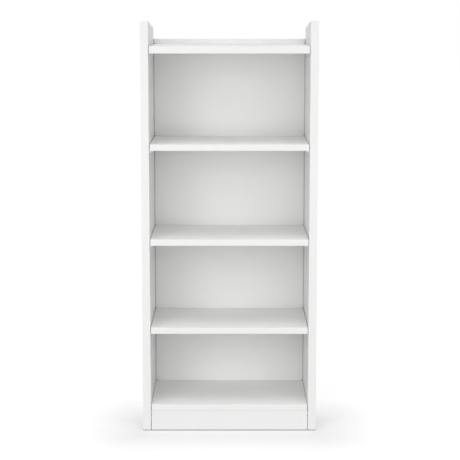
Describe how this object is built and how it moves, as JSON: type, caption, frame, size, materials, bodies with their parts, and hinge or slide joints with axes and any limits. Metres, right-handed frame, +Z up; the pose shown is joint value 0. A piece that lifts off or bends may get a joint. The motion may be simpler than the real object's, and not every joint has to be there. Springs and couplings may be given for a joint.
{
  "type": "floor-standing bookcase",
  "caption": "Tall narrow open bookcase with side panels that rise above a fixed top shelf, loose shelves on pins, a flush plinth and a thin back panel.",
  "frame": {"origin": "on the floor, under the middle of the case's width and depth", "axes": "+X to the viewer's right, +Y from the open front to the back panel, +Z up"},
  "size_m": [0.6, 0.35, 1.41],
  "materials": {
    "white_board": "white melamine-faced particleboard, satin",
    "edging": "white ABS edging, satin",
    "back_board": "thin fibreboard, white lacquer",
    "zinc": "zinc die-cast and plated steel, satin",
    "nail_steel": "bright steel",
    "beech": "raw beech",
    "white_plastic": "white polyethylene, matte"
  },
  "bodies": {
    "case": {"left_side_panel": "white_board", "right_side_panel": "white_board", "left_front_edging": "edging", "right_front_edging": "edging", "left_top_edging": "edging", "right_top_edging": "edging", "top_shelf": "white_board", "top_shelf_edging": "edging", "bottom_shelf": "white_board", "bottom_shelf_edging": "edging", "plinth_board": "white_board", "back_panel": "back_board", "back_panel_nails": "nail_steel", "top_shelf_cam_bolts": "zinc", "top_shelf_cam_locks": "zinc", "top_shelf_cam_caps": "white_plastic", "top_shelf_dowels": "beech", "bottom_shelf_cam_bolts": "zinc", "bottom_shelf_cam_locks": "zinc", "bottom_shelf_dowels": "beech", "plinth_dowels": "beech", "upper_shelf_pins": "zinc", "middle_shelf_pins": "zinc", "lower_shelf_pins": "zinc", "floor_glides": "white_plastic", "glide_nails": "nail_steel"},
    "upper_shelf": {"upper_shelf": "white_board", "upper_shelf_edging": "edging"},
    "middle_shelf": {"middle_shelf": "white_board", "middle_shelf_edging": "edging"},
    "lower_shelf": {"lower_shelf": "white_board", "lower_shelf_edging": "edging"}
  },
  "joints": [
    {"name": "upper_shelf_slide", "type": "slide", "parent": "case", "child": "upper_shelf", "axis": [0, -1, 0], "range_m": [0, 0.33]},
    {"name": "middle_shelf_slide", "type": "slide", "parent": "case", "child": "middle_shelf", "axis": [0, -1, 0], "range_m": [0, 0.33]},
    {"name": "lower_shelf_slide", "type": "slide", "parent": "case", "child": "lower_shelf", "axis": [0, -1, 0], "range_m": [0, 0.33]}
  ]
}
